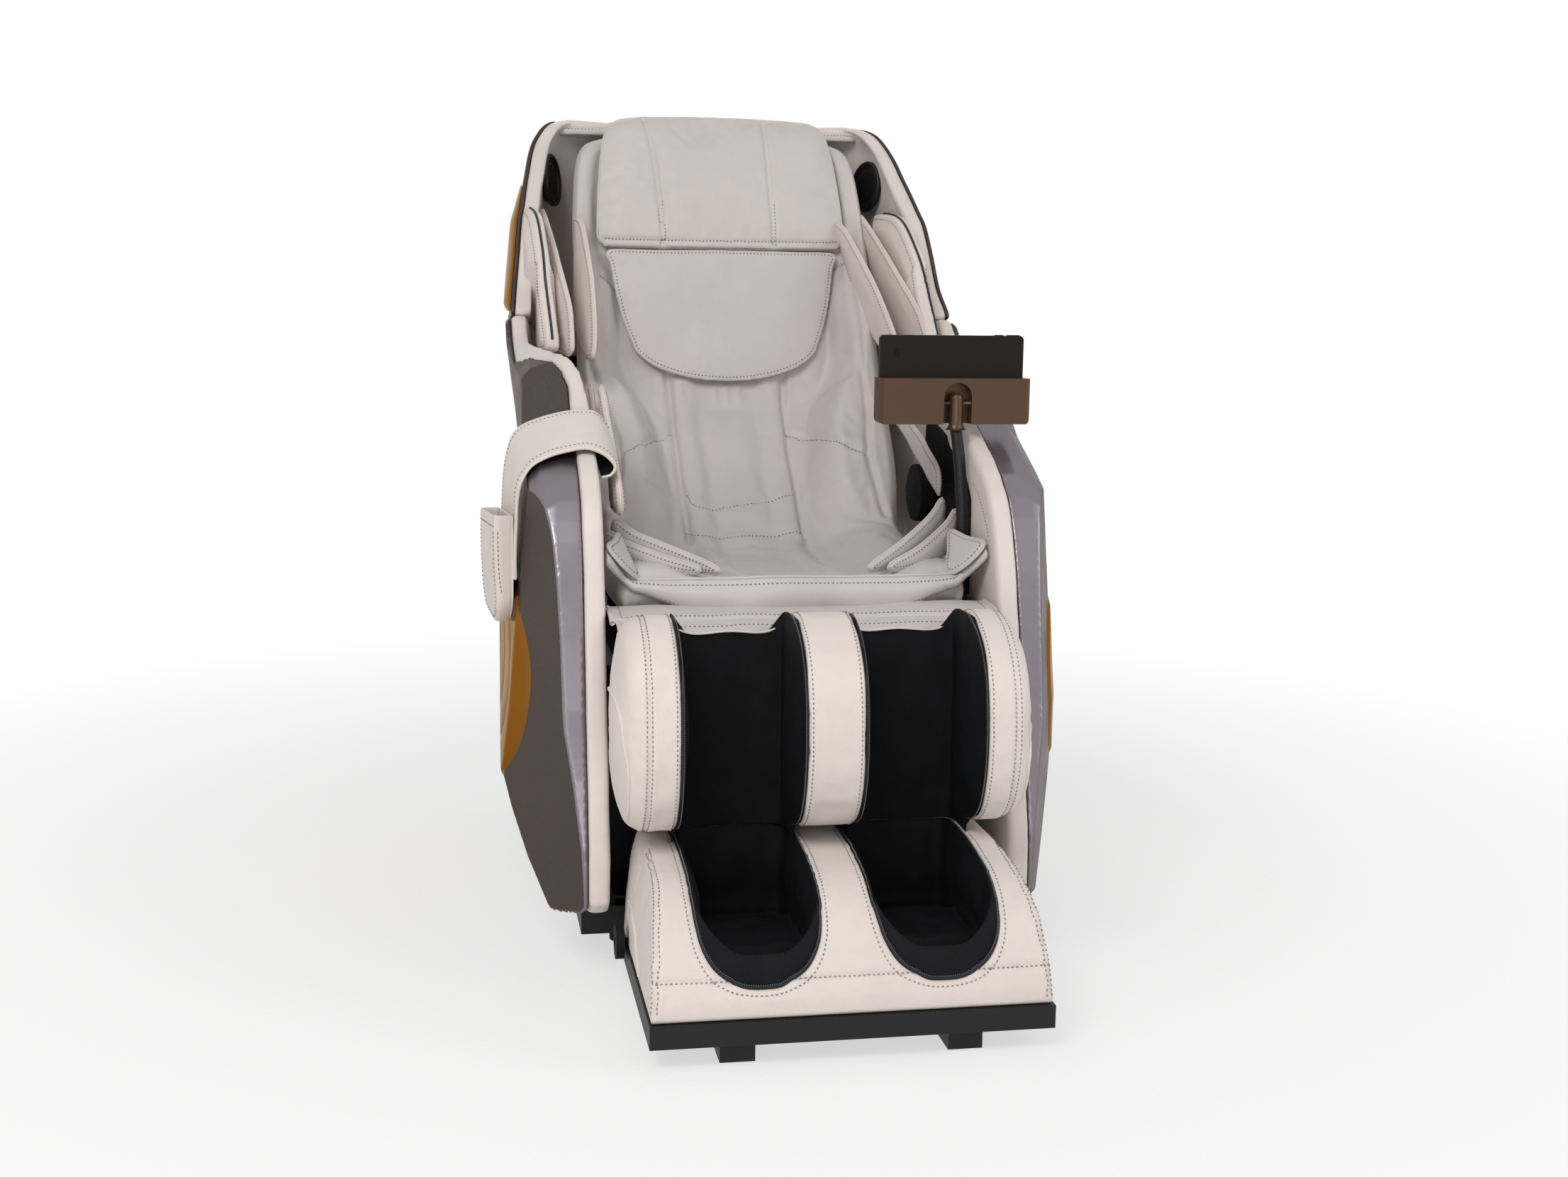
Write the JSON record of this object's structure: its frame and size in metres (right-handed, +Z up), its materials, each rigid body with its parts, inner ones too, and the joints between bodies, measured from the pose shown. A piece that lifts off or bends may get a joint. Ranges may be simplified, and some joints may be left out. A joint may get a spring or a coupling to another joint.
{
  "type": "massage chair",
  "caption": "Reclining massage chair with padded arms, a hooded backrest, a lifting calf and foot unit, and a tablet on a gooseneck.",
  "frame": {"origin": "on the floor, on the middle plane between the arms, in the plane of the floor feet's undersides, under the seat", "axes": "+X to the sitter's left, +Y to the back of the chair, +Z up"},
  "size_m": [0.8068, 1.4159, 1.168],
  "materials": {
    "leather_light": "soft grain",
    "leather_grey": "soft grain",
    "mesh_black": "woven mesh",
    "plastic_black": "fine texture",
    "shell_metal": "metallic lacquer",
    "bronze": "translucent bronze gloss",
    "steel_black": "powder coat",
    "steel_bright": "ground",
    "cradle_bronze": "satin metallic",
    "tablet_black": "satin",
    "key_grey": "satin",
    "switch_red": "gloss",
    "wheel_rubber": "matt",
    "roller_cream": "smooth"
  },
  "bodies": {
    "base": {"base_frame": "steel_black", "floor_feet": "wheel_rubber", "base_covers": "plastic_black", "seat_frame": "steel_black", "seat_cushion": "leather_grey", "seat_apron": "leather_grey", "hip_flaps": "leather_grey", "right_side_shell": "shell_metal", "left_side_shell": "shell_metal", "right_side_insert": "bronze", "left_side_insert": "bronze", "right_arm_lining": "leather_light", "left_arm_lining": "leather_light", "forearm_mesh": "mesh_black", "arm_flaps": "leather_grey", "remote_strap": "leather_light", "remote_pocket": "leather_light", "power_box": "plastic_black", "mains_inlet": "plastic_black", "air_pump": "plastic_black", "control_box": "plastic_black", "gooseneck_socket": "plastic_black"},
    "backrest": {"back_frame": "steel_black", "massage_rails": "steel_bright", "hood_shell": "shell_metal", "hood_liner": "leather_light", "hood_inserts": "bronze", "speakers": "plastic_black", "back_pad": "leather_grey", "head_pillow": "leather_light", "neck_flap": "leather_grey", "right_shoulder_leaves": "leather_light", "left_shoulder_leaves": "leather_light", "screw_motor": "plastic_black"},
    "legrest": {"leg_frame": "steel_black", "right_calf_bolster": "leather_light", "centre_calf_bolster": "leather_light", "left_calf_bolster": "leather_light", "calf_lining": "mesh_black", "knee_cover": "leather_grey"},
    "footrest": {"foot_shell": "leather_light", "foot_linings": "mesh_black", "foot_tray": "plastic_black", "foot_slides": "steel_bright"},
    "carriage": {"carriage": "steel_black"},
    "massage_rollers": {"massage_rollers": "roller_cream"},
    "lead_screw": {"lead_screw": "steel_bright"},
    "sole_rollers": {"sole_rollers": "plastic_black"},
    "foot_wheels": {"foot_wheels": "wheel_rubber"},
    "transport_wheels": {"transport_wheels": "wheel_rubber"},
    "rocker_switch": {"rocker_switch": "switch_red"},
    "recline_actuator": {"recline_actuator": "plastic_black"},
    "recline_rod": {"recline_rod": "steel_bright"},
    "leg_actuator": {"leg_actuator": "plastic_black"},
    "leg_rod": {"leg_rod": "steel_bright"},
    "gooseneck": {"gooseneck": "plastic_black"},
    "cradle": {"tablet_cradle": "cradle_bronze", "tablet": "tablet_black"},
    "power_button": {"power_button": "key_grey"},
    "volume_rocker": {"volume_rocker": "key_grey"}
  },
  "joints": [
    {"name": "recline", "type": "hinge", "parent": "base", "child": "backrest", "pos_m": [0, 0.03, 0.4], "axis": [-1, 0, 0], "range_deg": [0, 36]},
    {"name": "recline_actuator_swing", "type": "hinge", "parent": "base", "child": "recline_actuator", "pos_m": [0, -0.29, 0.19], "axis": [-1, 0, 0], "range_deg": [-4.6, 0.3]},
    {"name": "recline_rod_slide", "type": "slide", "parent": "recline_actuator", "child": "recline_rod", "axis": [0, 0.995, 0.0995], "range_m": [-0.112, 0.002]},
    {"name": "carriage_climb", "type": "slide", "parent": "backrest", "child": "carriage", "axis": [0, 0.3633, 0.9317], "range_m": [0, 0.26]},
    {"name": "massage_roller_spin", "type": "hinge", "parent": "carriage", "child": "massage_rollers", "pos_m": [0, 0.30683, 0.76749], "axis": [1, 0, 0], "continuous": true},
    {"name": "lead_screw_spin", "type": "hinge", "parent": "backrest", "child": "lead_screw", "pos_m": [0, 0.33418, 0.65594], "axis": [0, 0.3633, 0.9317], "continuous": true},
    {"name": "leg_lift", "type": "hinge", "parent": "base", "child": "legrest", "pos_m": [0, -0.475, 0.44], "axis": [-1, 0, 0], "range_deg": [0, 70]},
    {"name": "foot_slide", "type": "slide", "parent": "legrest", "child": "footrest", "axis": [0, 0, -1], "range_m": [0, 0.121]},
    {"name": "leg_actuator_swing", "type": "hinge", "parent": "base", "child": "leg_actuator", "pos_m": [0, -0.1, 0.2], "axis": [-1, 0, 0], "range_deg": [-1.2, 0.3]},
    {"name": "leg_rod_slide", "type": "slide", "parent": "leg_actuator", "child": "leg_rod", "axis": [0, -0.932, 0.3624], "range_m": [-0.002, 0.12]},
    {"name": "sole_roller_spin", "type": "hinge", "parent": "footrest", "child": "sole_rollers", "pos_m": [0, -0.65, 0.078], "axis": [1, 0, 0], "continuous": true},
    {"name": "foot_wheel_spin", "type": "hinge", "parent": "footrest", "child": "foot_wheels", "pos_m": [0, -0.55, 0.062], "axis": [1, 0, 0], "continuous": true},
    {"name": "transport_wheel_spin", "type": "hinge", "parent": "base", "child": "transport_wheels", "pos_m": [0, 0.358, 0.036], "axis": [1, 0, 0], "continuous": true},
    {"name": "rocker_switch_tip", "type": "hinge", "parent": "base", "child": "rocker_switch", "pos_m": [-0.05, 0.34, 0.112], "axis": [1, 0, 0], "range_deg": [0, 12]},
    {"name": "gooseneck_swivel", "type": "hinge", "parent": "base", "child": "gooseneck", "pos_m": [0.249, -0.342, 0.5], "axis": [0, 0, 1], "range_deg": [-18, 9]},
    {"name": "cradle_tilt", "type": "hinge", "parent": "gooseneck", "child": "cradle", "pos_m": [0.243, -0.3155, 0.735], "axis": [1, 0, 0], "range_deg": [-5, 20]},
    {"name": "power_button_press", "type": "slide", "parent": "cradle", "child": "power_button", "axis": [0, 0, -1], "range_m": [0, 0.0012], "stiffness_N_per_m": 300, "springref_m": -0.0006},
    {"name": "volume_rocker_press", "type": "slide", "parent": "cradle", "child": "volume_rocker", "axis": [0, 0, -1], "range_m": [0, 0.0012], "stiffness_N_per_m": 300, "springref_m": -0.0006}
  ],
  "couplings": [
    {"joint": "recline_actuator_swing", "follows": "recline", "ratio": -0.1158},
    {"joint": "recline_rod_slide", "follows": "recline", "m_per_rad": -0.1716},
    {"joint": "lead_screw_spin", "follows": "carriage_climb", "rad_per_m": 314.16},
    {"joint": "foot_slide", "follows": "leg_lift", "m_per_rad": 0.098},
    {"joint": "leg_actuator_swing", "follows": "leg_lift", "ratio": -0.0111},
    {"joint": "leg_rod_slide", "follows": "leg_lift", "m_per_rad": 0.0964}
  ]
}
